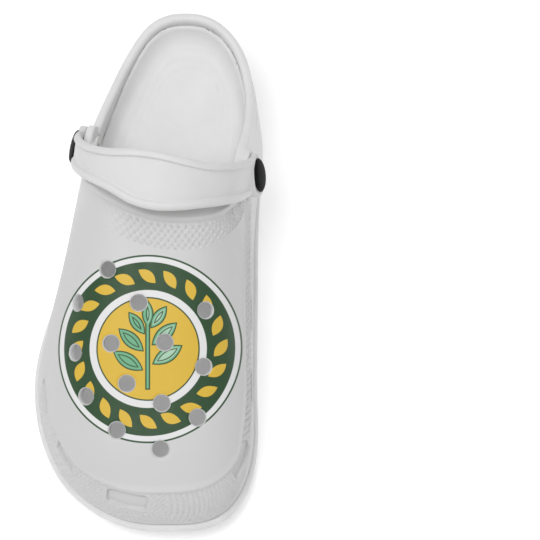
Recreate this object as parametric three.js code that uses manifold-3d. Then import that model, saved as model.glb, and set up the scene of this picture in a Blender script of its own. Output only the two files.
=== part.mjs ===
// A moulded-foam garden clog for the right foot, in millimetres.
// +Z is up, the toe points along -Y and the inner (medial) side of the foot is at +X.
// The origin is on the ground, under the middle of the clog.

import * as THREE from 'three';
import { mergeVertices } from 'three/addons/utils/BufferGeometryUtils.js';
import Module from 'manifold-3d';

const wasm = await Module();
wasm.setup();

// ---------------------------------------------------------------- driving dimensions

const gap = 0.3; // clearance kept between neighbouring pieces
const bondGap = 0.5; // the same across the turned-up sole, where the facets of two pieces differ

// Plan outline: two superellipse halves that meet at the waist.
const waistY = 20;
const frontLength = 165;
const rearLength = 125;
const planPower = 3;

// Section of the shell: how squarely the walls turn into the crown.
const wallPower = 3.6;
const crownPower = 2.5;

const soleThickness = 9;
const wallThickness = 4.5;
const soleFlatFrontY = -75;
const soleFlatRearY = 130;
const toeSpring = 11;
const heelSpring = 3.5;

const ventRadius = 4;
const portHeight = 8;
const portRise = 18.5; // height of the side ports' middles above the sole
const portDepth = 2.2;

// Heel strap and its hinge.
const hingeMiddle = new THREE.Vector3(9.1, 45.7, 58);
const hingeTurn = THREE.MathUtils.degToRad(-10);
const earFace = 44; // from the hinge's middle to the outer face of each ear
const earThickness = 4.5;
const earRadius = 12.6;
const tabRadius = 12;
const tabThickness = 5;
const tabTilt = THREE.MathUtils.degToRad(18);
const tabTiltTurn = { '-1': -15, 1: 20 }; // how far back from straight up each tab's face tilts, in degrees
const strapReach = 74;
const strapRise = THREE.MathUtils.degToRad(55);
const strapPower = 2.7;
const strapLean = 0.1; // share of its half span by which the lateral side leans in towards the top
const strapLeanStart = 16; // height over the hinge where the lean begins
const strapThickness = 4;

// Two-part snap rivets.
const postRadius = 3.2;
const headRadius = 9;
const headRise = 2.6;
const sleeveRadius = 5;
const flangeRadius = 7.5;
const flangeThickness = 1.8;

// Stations along the foot, as [y, value].
const halfWidth = smoothCurve([
  [-145, 60.9], [-114, 65], [-60, 61.6], [0, 53.7], [45, 50.8], [90, 48.2], [120, 47.5], [145, 48.5],
]);
const centreX = smoothCurve([
  [-145, 13], [-114, 4.5], [-60, -2], [0, 3.7], [45, 7.6], [90, 16], [120, 18.5], [145, 17],
]);
const lateralLean = smoothCurve([[-145, 0], [-60, 14], [0, 9], [45, 11.4], [90, 2.7], [145, 1.8]]);
const medialLean = smoothCurve([[-145, 0], [-60, 0], [0, 5], [45, 6.5], [90, 8], [120, 6], [145, 3]]);
const crownHeight = smoothCurve([
  [-145, 44], [-130, 44], [-114, 49], [-97, 54], [-60, 67], [-30, 79], [-7, 89], [30, 103], [145, 108],
]);
// Height of the collar's edge, from the vamp lip to the heel.
const collarHeight = smoothCurve([
  [-8, 100], [-3, 97], [15, 86], [35, 74], [50, 68], [65, 60], [90, 52], [120, 51.5], [135, 54], [150, 57.5],
]);
// Height of the footbed along its middle line, and how much it dishes up at its edge.
const footbedHeight = smoothCurve([[-145, 27], [-100, 22], [-50, 19], [0, 26], [60, 29], [140, 29]]);
const footbedDish = smoothCurve([[-145, 1], [-50, 2], [0, 5], [60, 7], [110, 13], [140, 18]]);
// How far the shell stands inside the sole's outline.
const soleLip = smoothCurve([[-165, 2], [20, 2], [70, 0.4], [165, 0.4]]);

// The strap's half width, and how far its middle line lies ahead of the hinge, across the foot.
const strapHalfWidth = smoothCurve([
  [-49, 8.8], [-33, 9], [-19, 10.4], [-4, 14], [8, 14.6], [20, 13.2], [32, 11.4], [49, 10.6],
]);
const strapOffset = smoothCurve([[-49, -1.5], [-19, -0.4], [0, 1.3], [20, 1.5], [49, 0]]);

// Vent centres in the vamp, as [x, y].
const vents = [
  [-17.5, -31], [-33.5, -42.5], [-1.5, -47], [32, -49], [-34.5, -66], [-15.5, -65], [11.5, -65],
  [31, -75], [-7.5, -83.5], [-28.5, -87.5], [10, -92.5], [28, -98.5], [-12.5, -104.5], [9.5, -113.5],
];
// Side ports, as plan angle in degrees and length along the wall.
const ports = [[-108, 21], [-133, 16], [-147, 18], [-48, 20], [-31, 17.5], [-17, 20]];

// ---------------------------------------------------------------- small helpers

// A smooth curve through stations, held level past its ends.
function smoothCurve(stations) {
  const last = stations.length - 1;
  const slopes = stations.map((station, i) => {
    const before = stations[Math.max(i - 1, 0)];
    const after = stations[Math.min(i + 1, last)];
    return (after[1] - before[1]) / (after[0] - before[0]);
  });
  return (y) => {
    const at = THREE.MathUtils.clamp(y, stations[0][0], stations[last][0]);
    let i = 0;
    while (i < last - 1 && at > stations[i + 1][0]) i += 1;
    const span = stations[i + 1][0] - stations[i][0];
    const t = (at - stations[i][0]) / span;
    const fromStart = (2 * t ** 3 - 3 * t ** 2 + 1) * stations[i][1];
    const fromEnd = (3 * t ** 2 - 2 * t ** 3) * stations[i + 1][1];
    const bend = (t ** 3 - 2 * t ** 2 + t) * slopes[i] + (t ** 3 - t ** 2) * slopes[i + 1];
    return fromStart + fromEnd + bend * span;
  };
}

// Turns closed geometry into a solid that can be joined and cut.
function solidFrom(geometry) {
  const bare = geometry.clone();
  bare.deleteAttribute('normal');
  bare.deleteAttribute('uv');
  const merged = mergeVertices(bare, 1e-4);
  return new wasm.Manifold(new wasm.Mesh({
    numProp: 3,
    vertProperties: new Float32Array(merged.attributes.position.array),
    triVerts: new Uint32Array(merged.index.array),
  }));
}

// Turns a solid back into geometry with flat facets.
function geometryFrom(solid) {
  const mesh = solid.getMesh();
  const geometry = new THREE.BufferGeometry();
  geometry.setAttribute('position', new THREE.BufferAttribute(new Float32Array(mesh.vertProperties), 3));
  geometry.setIndex(new THREE.BufferAttribute(new Uint32Array(mesh.triVerts), 1));
  return geometry;
}

// Skins a stack of rings from the top down. A ring runs counter-clockwise seen from above, and the first
// and last are single points that close the ends.
function stackRings(rings) {
  const positions = rings.flat().flatMap((point) => [point.x, point.y, point.z]);
  const indices = [];
  let start = 0;
  for (let j = 0; j + 1 < rings.length; j += 1) {
    const above = rings[j].length;
    const below = rings[j + 1].length;
    const next = start + above;
    const count = Math.max(above, below);
    for (let i = 0; i < count; i += 1) {
      const k = (i + 1) % count;
      if (above === 1) {
        indices.push(start, next + i, next + k);
      } else if (below === 1) {
        indices.push(start + i, next, start + k);
      } else {
        indices.push(start + i, next + i, next + k, start + i, next + k, start + k);
      }
    }
    start = next;
  }
  const geometry = new THREE.BufferGeometry();
  geometry.setAttribute('position', new THREE.BufferAttribute(new Float32Array(positions), 3));
  geometry.setIndex(indices);
  return geometry;
}

function ringOf(count, pointAt) {
  return Array.from({ length: count }, (_, i) => pointAt((i / count) * Math.PI * 2));
}

function superellipse(angle, power) {
  return (Math.abs(Math.cos(angle)) ** power + Math.abs(Math.sin(angle)) ** power) ** (-1 / power);
}

// ---------------------------------------------------------------- shell formula

// Height of the sole's underside: flat, turned up at the toe and slightly at the heel.
function groundZ(y) {
  const toe = Math.max(0, (soleFlatFrontY - y) / (waistY - frontLength - soleFlatFrontY) * -1);
  const heel = Math.max(0, (y - soleFlatRearY) / (waistY + rearLength - soleFlatRearY));
  return toeSpring * toe ** 2 + heelSpring * heel ** 2;
}

function shellBaseZ(y) {
  return groundZ(y) + soleThickness;
}

// A point of the shell. `reach` runs from 0 at the middle to 1 at the wall, `rise` from 0 at the base to 1 at
// the crown, and `inset` is how far the surface lies inside the sole's outline.
function shellPoint(angle, reach, rise, inset) {
  const ring = superellipse(angle, planPower) * reach;
  const along = ring * Math.sin(angle);
  const length = along < 0 ? frontLength : rearLength;
  const lip = soleLip(waistY + along * length);
  const y = waistY + along * (length - lip - inset);
  const toMiddle = (lateralLean(y) - medialLean(y)) / 2 * rise;
  const narrowing = (lateralLean(y) + medialLean(y)) / 2 * rise;
  const width = halfWidth(y) - lip - inset - narrowing;
  return new THREE.Vector3(
    centreX(y) + toMiddle + width * ring * Math.cos(angle),
    y,
    shellBaseZ(y) + (crownHeight(y) - inset) * rise,
  );
}

const planSteps = 60;
const crownSteps = 11;
const flatReaches = [0.94, 0.87, 0.77, 0.6]; // rings across the faces that follow the turned-up toe

// The whole dome at an inset, closed below at floorZ, or on the sole when there is no floorZ.
function domeSolid(inset, floorZ) {
  const rings = [];
  for (let j = 0; j <= crownSteps; j += 1) {
    const turn = (1 - j / crownSteps) * Math.PI / 2;
    const reach = Math.cos(turn) ** (2 / wallPower);
    const rise = Math.sin(turn) ** (2 / crownPower);
    if (j === 0) {
      rings.push([shellPoint(0, 0, 1, inset)]);
    } else {
      rings.push(ringOf(planSteps, (angle) => shellPoint(angle, reach, rise, inset)));
    }
  }
  const baseReaches = floorZ === undefined ? flatReaches : [1];
  for (const reach of baseReaches) {
    rings.push(ringOf(planSteps, (angle) => {
      const point = shellPoint(angle, reach, 0, inset);
      point.z = floorZ ?? point.z;
      return point;
    }));
  }
  const middle = shellPoint(0, 0, 0, inset);
  middle.z = floorZ ?? middle.z;
  rings.push([middle]);
  return solidFrom(stackRings(rings));
}

// Everything above the collar's edge: a side profile drawn across the whole clog.
function openingCutter() {
  const above = 200;
  const across = 200;
  const points = [new THREE.Vector2(-8, above)];
  for (let y = -8; y < 60; y += 4) points.push(new THREE.Vector2(y, collarHeight(y)));
  for (let y = 60; y <= 160; y += 10) points.push(new THREE.Vector2(y, collarHeight(y)));
  points.push(new THREE.Vector2(160, above));
  const geometry = new THREE.ExtrudeGeometry(new THREE.Shape(points), { depth: across, bevelEnabled: false });
  const alongY = new THREE.Vector3(0, 1, 0);
  const alongZ = new THREE.Vector3(0, 0, 1);
  const alongX = new THREE.Vector3(1, 0, 0);
  geometry.applyMatrix4(new THREE.Matrix4().makeBasis(alongY, alongZ, alongX));
  geometry.translate(-across / 2, 0, 0);
  return solidFrom(geometry);
}

// The shell's outer surface over a plan point: its height by halving, and its outward normal.
function crownAt(x, y) {
  let low = shellBaseZ(y);
  let high = low + crownHeight(y);
  for (let i = 0; i < 40; i += 1) {
    const z = (low + high) / 2;
    if (shellField(x, y, z) < 0) low = z;
    else high = z;
  }
  const point = new THREE.Vector3(x, y, low);
  const step = 0.01;
  const normal = new THREE.Vector3(
    shellField(x + step, y, low) - shellField(x - step, y, low),
    shellField(x, y + step, low) - shellField(x, y - step, low),
    shellField(x, y, low + step) - shellField(x, y, low - step),
  ).normalize();
  return { point, normal };
}

// Negative inside the shell's outer surface, positive outside.
function shellField(x, y, z) {
  const lip = soleLip(y);
  const along = (y - waistY) / ((y < waistY ? frontLength : rearLength) - lip);
  const rise = (z - shellBaseZ(y)) / crownHeight(y);
  const middle = centreX(y) + (lateralLean(y) - medialLean(y)) / 2 * rise;
  const width = halfWidth(y) - lip - (lateralLean(y) + medialLean(y)) / 2 * rise;
  const ring = (Math.abs((x - middle) / width) ** planPower + Math.abs(along) ** planPower) ** (1 / planPower);
  return ring ** wallPower + Math.max(rise, 0) ** crownPower - 1;
}

// A closed prism whose axis passes through a point along a direction.
function prismAlong(geometry, point, direction) {
  const turn = new THREE.Quaternion().setFromUnitVectors(new THREE.Vector3(0, 1, 0), direction);
  geometry.applyQuaternion(turn);
  geometry.translate(point.x, point.y, point.z);
  return solidFrom(geometry);
}

function ventCutter([x, y]) {
  const { point, normal } = crownAt(x, y);
  return prismAlong(new THREE.CylinderGeometry(ventRadius, ventRadius, 24, 12), point, normal);
}

// A shallow pocket, square to the wall.
function portCutter([degrees, length]) {
  const angle = THREE.MathUtils.degToRad(degrees);
  const wallAt = (turn, lift) => {
    const middle = shellPoint(angle, 1, 0, 0);
    const rise = (portRise + lift) / crownHeight(middle.y);
    return shellPoint(angle + turn, (1 - rise ** crownPower) ** (1 / wallPower), rise, 0);
  };
  const along = wallAt(0.02, 0).sub(wallAt(-0.02, 0)).normalize();
  const outward = along.clone().cross(wallAt(0, 1).sub(wallAt(0, -1))).normalize();
  const up = outward.clone().cross(along);
  const depth = 12;
  const geometry = new THREE.BoxGeometry(length, portHeight, depth);
  geometry.applyMatrix4(new THREE.Matrix4().makeBasis(along, up, outward));
  const middle = wallAt(0, 0).addScaledVector(outward, depth / 2 - portDepth);
  geometry.translate(middle.x, middle.y, middle.z);
  return solidFrom(geometry);
}

// ---------------------------------------------------------------- hinge frame

const hingeAxis = new THREE.Vector3(Math.cos(hingeTurn), Math.sin(hingeTurn), 0);
const strapUp = new THREE.Vector3(Math.sin(hingeTurn), -Math.cos(hingeTurn), 0)
  .multiplyScalar(Math.cos(strapRise))
  .setZ(Math.sin(strapRise));
const strapAcross = hingeAxis.clone().cross(strapUp);

// A point on the hinge axis; side is 1 on the medial side and -1 on the lateral side.
function onHinge(side, distance) {
  return hingeMiddle.clone().addScaledVector(hingeAxis, side * distance);
}

// A round bar on the hinge axis between two distances from its middle.
function hingeBar(side, from, to, radius, segments) {
  const middle = onHinge(side, (from + to) / 2);
  return prismAlong(new THREE.CylinderGeometry(radius, radius, to - from, segments), middle, hingeAxis);
}

// ---------------------------------------------------------------- pieces

function outsoleGeometry() {
  // Rings down the edge of the slab, as [inset, share of the thickness below the top].
  const top = soleThickness - bondGap;
  const profile = [[1.2, 0], [0.2, 0.15], [0, 0.5], [0.8, 0.8], [3, 1]];
  const ringAt = (inset, share, reach) => ringOf(planSteps, (angle) => {
    const ring = superellipse(angle, planPower) * reach;
    const along = ring * Math.sin(angle);
    const y = waistY + along * ((along < 0 ? frontLength : rearLength) - inset);
    const x = centreX(y) + (halfWidth(y) - inset) * ring * Math.cos(angle);
    return new THREE.Vector3(x, y, groundZ(y) + top * (1 - share));
  });
  const rings = [
    [new THREE.Vector3(centreX(waistY), waistY, top)],
    ...[...flatReaches].reverse().map((reach) => ringAt(1.2, 0, reach)),
    ...profile.map(([inset, share]) => ringAt(inset, share, 1)),
    ...flatReaches.map((reach) => ringAt(3, 1, reach)),
    [new THREE.Vector3(centreX(waistY), waistY, 0)],
  ];
  return stackRings(rings);
}

function upperGeometry() {
  let shell = domeSolid(0)
    .subtract(domeSolid(wallThickness, -20))
    .subtract(openingCutter());
  for (const vent of vents) shell = shell.subtract(ventCutter(vent));
  for (const port of ports) shell = shell.subtract(portCutter(port));
  for (const side of [-1, 1]) {
    shell = shell
      .subtract(hingeBar(side, earFace, earFace + 15, earRadius + 0.8, 32))
      .subtract(hingeBar(side, earFace - 15, earFace - earThickness, flangeRadius + 0.8, 32))
      .add(hingeBar(side, earFace - earThickness, earFace, earRadius, 32))
      .subtract(hingeBar(side, earFace - 15, earFace + 15, sleeveRadius + gap, 24));
  }
  return geometryFrom(shell);
}

function footbedGeometry() {
  // A slab under the footbed's top surface, trimmed to the inside of the shell.
  const reaches = [0.3, 0.6, 0.85, 1, 1.1];
  const steps = 48;
  const slabRing = (reach, zAt) => ringOf(steps, (angle) => {
    const point = shellPoint(angle, reach, 0, wallThickness);
    return point.setZ(zAt(point.y, reach));
  });
  const topZ = (y, reach) => footbedHeight(y) + footbedDish(y) * reach ** 4;
  const slab = solidFrom(stackRings([
    [new THREE.Vector3(centreX(waistY), waistY, topZ(waistY, 0))],
    ...reaches.map((reach) => slabRing(reach, topZ)),
    slabRing(1.1, () => -20),
    [new THREE.Vector3(centreX(waistY), waistY, -20)],
  ]));
  return geometryFrom(slab.intersect(domeSolid(wallThickness + gap)));
}

function strapGeometry() {
  const half = earFace + gap + strapThickness / 2;
  const spineAt = (turn) => {
    const ring = superellipse(turn, strapPower);
    const reach = strapReach * ring * Math.sin(turn);
    const share = Math.max(0, (reach - strapLeanStart) / (strapReach - strapLeanStart));
    const lean = turn < Math.PI / 2 ? strapLean * share * (2 - share) : 0;
    return new THREE.Vector2(-half * ring * Math.cos(turn) * (1 - lean), reach);
  };
  const bandSteps = 28;
  const sectionCorners = [[1, 0.7], [0.7, 1], [-0.7, 1], [-1, 0.7], [-1, -0.7], [-0.7, -1], [0.7, -1], [1, -0.7]];
  const ringAt = (turn) => {
    const spine = spineAt(turn);
    const ahead = spineAt(turn + 0.01).sub(spineAt(turn - 0.01)).normalize();
    const outward = hingeAxis.clone().multiplyScalar(-ahead.y).addScaledVector(strapUp, ahead.x);
    const centre = hingeMiddle.clone().addScaledVector(hingeAxis, spine.x).addScaledVector(strapUp, spine.y);
    centre.addScaledVector(strapAcross, strapOffset(spine.x));
    const width = strapHalfWidth(spine.x);
    const corners = sectionCorners.map(([across, out]) => centre.clone()
      .addScaledVector(strapAcross, width * (Math.abs(across) === 1 ? across : across * 1.28))
      .addScaledVector(outward, strapThickness / 2 * out));
    return { centre, corners };
  };
  const sections = Array.from({ length: bandSteps + 1 }, (_, i) => ringAt(i / bandSteps * Math.PI));
  let band = solidFrom(stackRings([
    [sections[0].centre],
    ...sections.map((section) => section.corners),
    [sections[bandSteps].centre],
  ]));
  for (const side of [-1, 1]) {
    band = band.add(tabSolid(side));
  }
  for (const side of [-1, 1]) {
    band = band
      .subtract(headSeat(side))
      .subtract(hingeBar(side, earFace - 5, earFace + 20, postRadius + gap, 24));
  }
  return geometryFrom(band);
}

// The direction, square to the hinge, that a tab's face tilts towards.
function tiltDirection(side) {
  const turn = THREE.MathUtils.degToRad(tabTiltTurn[side]);
  const back = new THREE.Vector3(-hingeAxis.y, hingeAxis.x, 0);
  return back.multiplyScalar(Math.sin(turn)).setZ(Math.cos(turn));
}

// The tilted direction in which a rivet's head looks.
function headDirection(side) {
  return hingeAxis.clone().multiplyScalar(side * Math.cos(tabTilt))
    .addScaledVector(tiltDirection(side), Math.sin(tabTilt));
}

// The space above the tab's tilted face that the rivet's head needs.
function headSeat(side) {
  const depth = 12;
  const outward = headDirection(side);
  const middle = onHinge(side, earFace + gap + tabThickness).addScaledVector(outward, depth / 2);
  return prismAlong(new THREE.CylinderGeometry(headRadius + 0.6, headRadius + 0.6, depth, 32), middle, outward);
}

// The round tab at an end of the strap. Its outer face tilts up, so the tab is thicker at the bottom.
function tabSolid(side) {
  const from = earFace + gap;
  const lean = tiltDirection(side);
  const across = hingeAxis.clone().cross(lean);
  const faceAt = (angle, distance, slope) => {
    const height = tabRadius * Math.sin(angle);
    return onHinge(side, distance - slope * height)
      .addScaledVector(across, -side * tabRadius * Math.cos(angle))
      .addScaledVector(lean, height);
  };
  const outer = from + tabThickness;
  return solidFrom(stackRings([
    [onHinge(side, outer)],
    ringOf(32, (angle) => faceAt(angle, outer, Math.tan(tabTilt))),
    ringOf(32, (angle) => faceAt(angle, from, 0)),
    [onHinge(side, from)],
  ]));
}

// Domed head on the tab's tilted face, with a post along the hinge axis.
function studGeometry(side) {
  const start = earFace + gap + tabThickness + gap;
  const profile = [
    new THREE.Vector2(0, 0),
    new THREE.Vector2(headRadius, 0),
    new THREE.Vector2(headRadius, 0.9),
    ...[20, 40, 60, 75].map((degrees) => {
      const turn = THREE.MathUtils.degToRad(degrees);
      return new THREE.Vector2(headRadius * Math.cos(turn), 0.9 + (headRise - 0.9) * Math.sin(turn));
    }),
    new THREE.Vector2(0, headRise),
  ];
  const head = prismAlong(new THREE.LatheGeometry(profile, 32), onHinge(side, start), headDirection(side));
  const post = hingeBar(side, earFace - earThickness - flangeThickness, start + 1.5, postRadius, 24);
  return geometryFrom(head.add(post));
}

// Flanged sleeve pushed into the ear from the inside.
function socketGeometry(side) {
  const flangeTop = earFace - earThickness - gap;
  const flangeFoot = flangeTop - flangeThickness;
  const sleeve = hingeBar(side, flangeFoot, flangeTop, flangeRadius, 32)
    .add(hingeBar(side, flangeFoot, earFace - 0.6, sleeveRadius, 24))
    .subtract(hingeBar(side, flangeFoot - 5, earFace + 5, postRadius + gap, 24));
  return geometryFrom(sleeve);
}

// ---------------------------------------------------------------- assembly

const foam = { color: 0xe9ebec, roughness: 0.55, metalness: 0 };
const rivetPlastic = { color: 0x0a0a0b, roughness: 0.35, metalness: 0 };
const socketPlastic = { color: 0xe6e6e6, roughness: 0.45, metalness: 0 };

function addPiece(group, name, geometry, finish) {
  const mesh = new THREE.Mesh(geometry, new THREE.MeshStandardMaterial({ ...finish, flatShading: true }));
  mesh.name = name;
  group.add(mesh);
}

const clog = new THREE.Group();
clog.name = 'garden_clog';
addPiece(clog, 'outsole', outsoleGeometry(), foam);
addPiece(clog, 'upper', upperGeometry(), foam);
addPiece(clog, 'footbed', footbedGeometry(), { ...foam, color: 0xc9cccd });
addPiece(clog, 'heel_strap', strapGeometry(), foam);
addPiece(clog, 'rivet_stud_lateral', studGeometry(-1), rivetPlastic);
addPiece(clog, 'rivet_stud_medial', studGeometry(1), rivetPlastic);
addPiece(clog, 'rivet_socket_lateral', socketGeometry(-1), socketPlastic);
addPiece(clog, 'rivet_socket_medial', socketGeometry(1), socketPlastic);

export default clog;
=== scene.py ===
import math

import bpy
import numpy as np
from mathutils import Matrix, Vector


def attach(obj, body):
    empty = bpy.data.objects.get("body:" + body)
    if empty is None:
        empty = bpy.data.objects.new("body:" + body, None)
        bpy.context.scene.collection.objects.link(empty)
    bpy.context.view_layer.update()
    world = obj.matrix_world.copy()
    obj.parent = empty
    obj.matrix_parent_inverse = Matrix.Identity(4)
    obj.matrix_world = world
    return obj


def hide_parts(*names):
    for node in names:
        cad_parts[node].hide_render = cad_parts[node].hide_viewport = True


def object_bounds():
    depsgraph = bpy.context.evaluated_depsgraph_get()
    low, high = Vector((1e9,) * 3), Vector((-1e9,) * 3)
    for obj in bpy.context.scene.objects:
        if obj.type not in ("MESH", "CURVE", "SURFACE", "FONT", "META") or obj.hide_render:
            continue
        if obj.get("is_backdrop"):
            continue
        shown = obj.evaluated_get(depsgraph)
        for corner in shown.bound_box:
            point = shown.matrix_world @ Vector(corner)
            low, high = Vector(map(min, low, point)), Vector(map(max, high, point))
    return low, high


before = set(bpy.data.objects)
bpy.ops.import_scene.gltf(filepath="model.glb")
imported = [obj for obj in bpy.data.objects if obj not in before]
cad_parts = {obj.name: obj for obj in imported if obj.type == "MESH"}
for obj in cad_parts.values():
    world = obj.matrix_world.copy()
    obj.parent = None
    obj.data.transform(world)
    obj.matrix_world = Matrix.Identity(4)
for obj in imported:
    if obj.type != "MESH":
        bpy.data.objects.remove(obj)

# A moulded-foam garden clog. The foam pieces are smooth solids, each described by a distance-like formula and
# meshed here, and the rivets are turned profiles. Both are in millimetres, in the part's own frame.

CAD_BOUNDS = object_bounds()
MM = 0.001
CELL = 1.15  # size of the cells that the smooth surfaces are meshed with

# -------- driving dimensions, in millimetres

GAP = 0.3  # clearance between neighbouring pieces
BOND_GAP = 0.5  # how far the outsole stops short of the shell
WAIST_Y = 20.0  # where the front half of the plan meets the rear half
FRONT_LENGTH = 165.0
REAR_LENGTH = 125.0
PLAN_POWER = 3.0
HEEL_PLAN_POWER = 2.5
WALL_POWER = 3.6
CROWN_POWER = 2.5
SOLE_THICKNESS = 9.0
WALL_THICKNESS = 4.5
FLAT_FRONT_Y = -75.0
FLAT_REAR_Y = 130.0
TOE_SPRING = 11.0
HEEL_SPRING = 3.5
LIP_Y = -7.0
LIP_MIDDLE_X = 18.0
LIP_SWEEP = 0.011  # how fast the lip runs back towards the lateral side, per millimetre squared
FRONT_SLOPE = math.radians(65)  # the lip, its panel and the print lie square to this direction over the toe

HINGE_MIDDLE = np.array([9.1, 45.7, 58.0])
HINGE_TURN = math.radians(-10)
EAR_FACE = 44.0
EAR_THICKNESS = 4.5
EAR_RADIUS = 12.6
TAB_RADIUS = 12.0
TAB_THICKNESS = 5.0
TAB_TILT = math.radians(18)
TAB_TILT_TURN = {-1: math.radians(-15), 1: math.radians(20)}
STRAP_REACH = 74.0
STRAP_RISE = math.radians(55)
STRAP_POWER = 2.7
STRAP_LEAN = 0.1
STRAP_LEAN_START = 16.0
STRAP_THICKNESS = 4.0
POST_RADIUS = 3.2
HEAD_RADIUS = 9.0
HEAD_RISE = 2.6
SLEEVE_RADIUS = 5.0
FLANGE_RADIUS = 7.5
FLANGE_THICKNESS = 1.8
SOCKET_CLEARANCE = 0.8  # room round the tab and the flange where they sit against the shell

VENT_RADIUS = 4.0
VENTS = [
    (-17.5, -31), (-33.5, -42.5), (-1.5, -47), (32, -49), (-34.5, -66), (-15.5, -65), (11.5, -65),
    (31, -75), (-7.5, -83.5), (-28.5, -87.5), (10, -92.5), (28, -98.5), (-12.5, -104.5), (9.5, -113.5),
]
PORT_HEIGHT = 8.0
PORT_RISE = 18.5
PORT_DEPTH = 2.2
PORTS = [(-108, 21), (-133, 16), (-147, 18), (-48, 20), (-31, 17.5), (-17, 20)]  # plan angle and length


def smooth_curve(stations):
    """A smooth curve through (y, value) stations, held level past its ends."""
    at, value = np.array(stations, float).T
    slope = np.empty_like(value)
    slope[0] = (value[1] - value[0]) / (at[1] - at[0])
    slope[-1] = (value[-1] - value[-2]) / (at[-1] - at[-2])
    slope[1:-1] = (value[2:] - value[:-2]) / (at[2:] - at[:-2])

    def curve(y):
        y = np.clip(y, at[0], at[-1])
        i = np.clip(np.searchsorted(at, y, side="right") - 1, 0, len(at) - 2)
        span = at[i + 1] - at[i]
        t = (y - at[i]) / span
        from_start = (2 * t**3 - 3 * t**2 + 1) * value[i]
        from_end = (3 * t**2 - 2 * t**3) * value[i + 1]
        bend = (t**3 - 2 * t**2 + t) * slope[i] + (t**3 - t**2) * slope[i + 1]
        return from_start + from_end + bend * span

    return curve


half_width = smooth_curve([
    (-145, 60.9), (-114, 65), (-60, 61.6), (0, 53.7), (45, 50.8), (90, 48.2), (120, 47.5), (145, 48.5),
])
centre_x = smooth_curve([
    (-145, 13), (-114, 4.5), (-60, -2), (0, 3.7), (45, 7.6), (90, 16), (120, 18.5), (145, 17),
])
lateral_lean = smooth_curve([(-145, 0), (-60, 14), (0, 9), (45, 11.4), (90, 2.7), (145, 1.8)])
medial_lean = smooth_curve([(-145, 0), (-60, 0), (0, 5), (45, 6.5), (90, 8), (120, 6), (145, 3)])
crown_height = smooth_curve([
    (-145, 44), (-130, 44), (-114, 49), (-97, 54), (-60, 67), (-30, 79), (-7, 89), (30, 103), (145, 108),
])
collar_height = smooth_curve([
    (-8, 100), (-3, 97), (15, 86), (35, 74), (50, 68), (65, 60), (90, 52), (120, 51.5), (135, 54),
    (150, 57.5),
])
footbed_height = smooth_curve([(-145, 27), (-100, 22), (-50, 19), (0, 26), (60, 29), (140, 29)])
footbed_dish = smooth_curve([(-145, 1), (-50, 2), (0, 5), (60, 7), (110, 13), (140, 18)])
sole_lip = smooth_curve([(-165, 2), (20, 2), (70, 0.4), (165, 0.4)])
strap_half_width = smooth_curve([
    (-49, 8.8), (-33, 9), (-19, 10.4), (-4, 14), (8, 14.6), (20, 13.2), (32, 11.4), (49, 10.6),
])
strap_offset = smooth_curve([(-49, -1.5), (-19, -0.4), (0, 1.3), (20, 1.5), (49, 0)])
# The textured band: heights of its top and foot above the sole, on the medial side and on the lateral side.
medial_band_top = smooth_curve([
    (-145, 24), (-125, 24.5), (-111, 25.5), (-100, 29), (-73, 34), (-32, 42), (7, 43), (45, 41),
])
medial_band_foot = smooth_curve([(-135, 2.2), (-118, 8), (-103, 17), (-68, 20.5), (-25, 22.5), (18, 24)])
lateral_band_top = smooth_curve([(-145, 24), (-125, 24), (-100, 23), (-40, 22), (45, 20)])
lateral_band_foot = smooth_curve([(-140, 2.2), (45, 3)])

# -------- working with distance-like formulas


def smooth_max(a, b, k):
    """The larger of two, with the corner between them rounded over a length of k."""
    h = np.maximum(k - np.abs(a - b), 0) / k
    return np.maximum(a, b) + h * h * k / 4


def smooth_min(a, b, k):
    return -smooth_max(-a, -b, k)


def ramp(value, start, end):
    """0 at start, 1 at end, with soft ends."""
    t = np.clip((value - start) / (end - start), 0, 1)
    return t * t * (3 - 2 * t)


def ridge(value, width):
    """A bump of height 1 around 0."""
    return np.exp(-((value / width) ** 2))


def slope_of(field, x, y, z):
    step = 0.02
    value = field(x, y, z)
    gradient = np.stack([
        (field(x + step, y, z) - value) / step,
        (field(x, y + step, z) - value) / step,
        (field(x, y, z + step) - value) / step,
    ], axis=-1)
    return value, gradient


def as_distance(field):
    """Scales a formula so that it counts millimetres near its own surface."""
    def distance(x, y, z):
        value, gradient = slope_of(field, x, y, z)
        return value / np.maximum(np.linalg.norm(gradient, axis=-1), 1e-3)
    return distance


def rounded_box(a, b, half_a, half_b, radius):
    """Distance to a flat rounded rectangle in the coordinates a and b."""
    over_a = np.abs(a) - half_a + radius
    over_b = np.abs(b) - half_b + radius
    outside = np.hypot(np.maximum(over_a, 0), np.maximum(over_b, 0))
    return outside + np.minimum(np.maximum(over_a, over_b), 0) - radius


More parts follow.
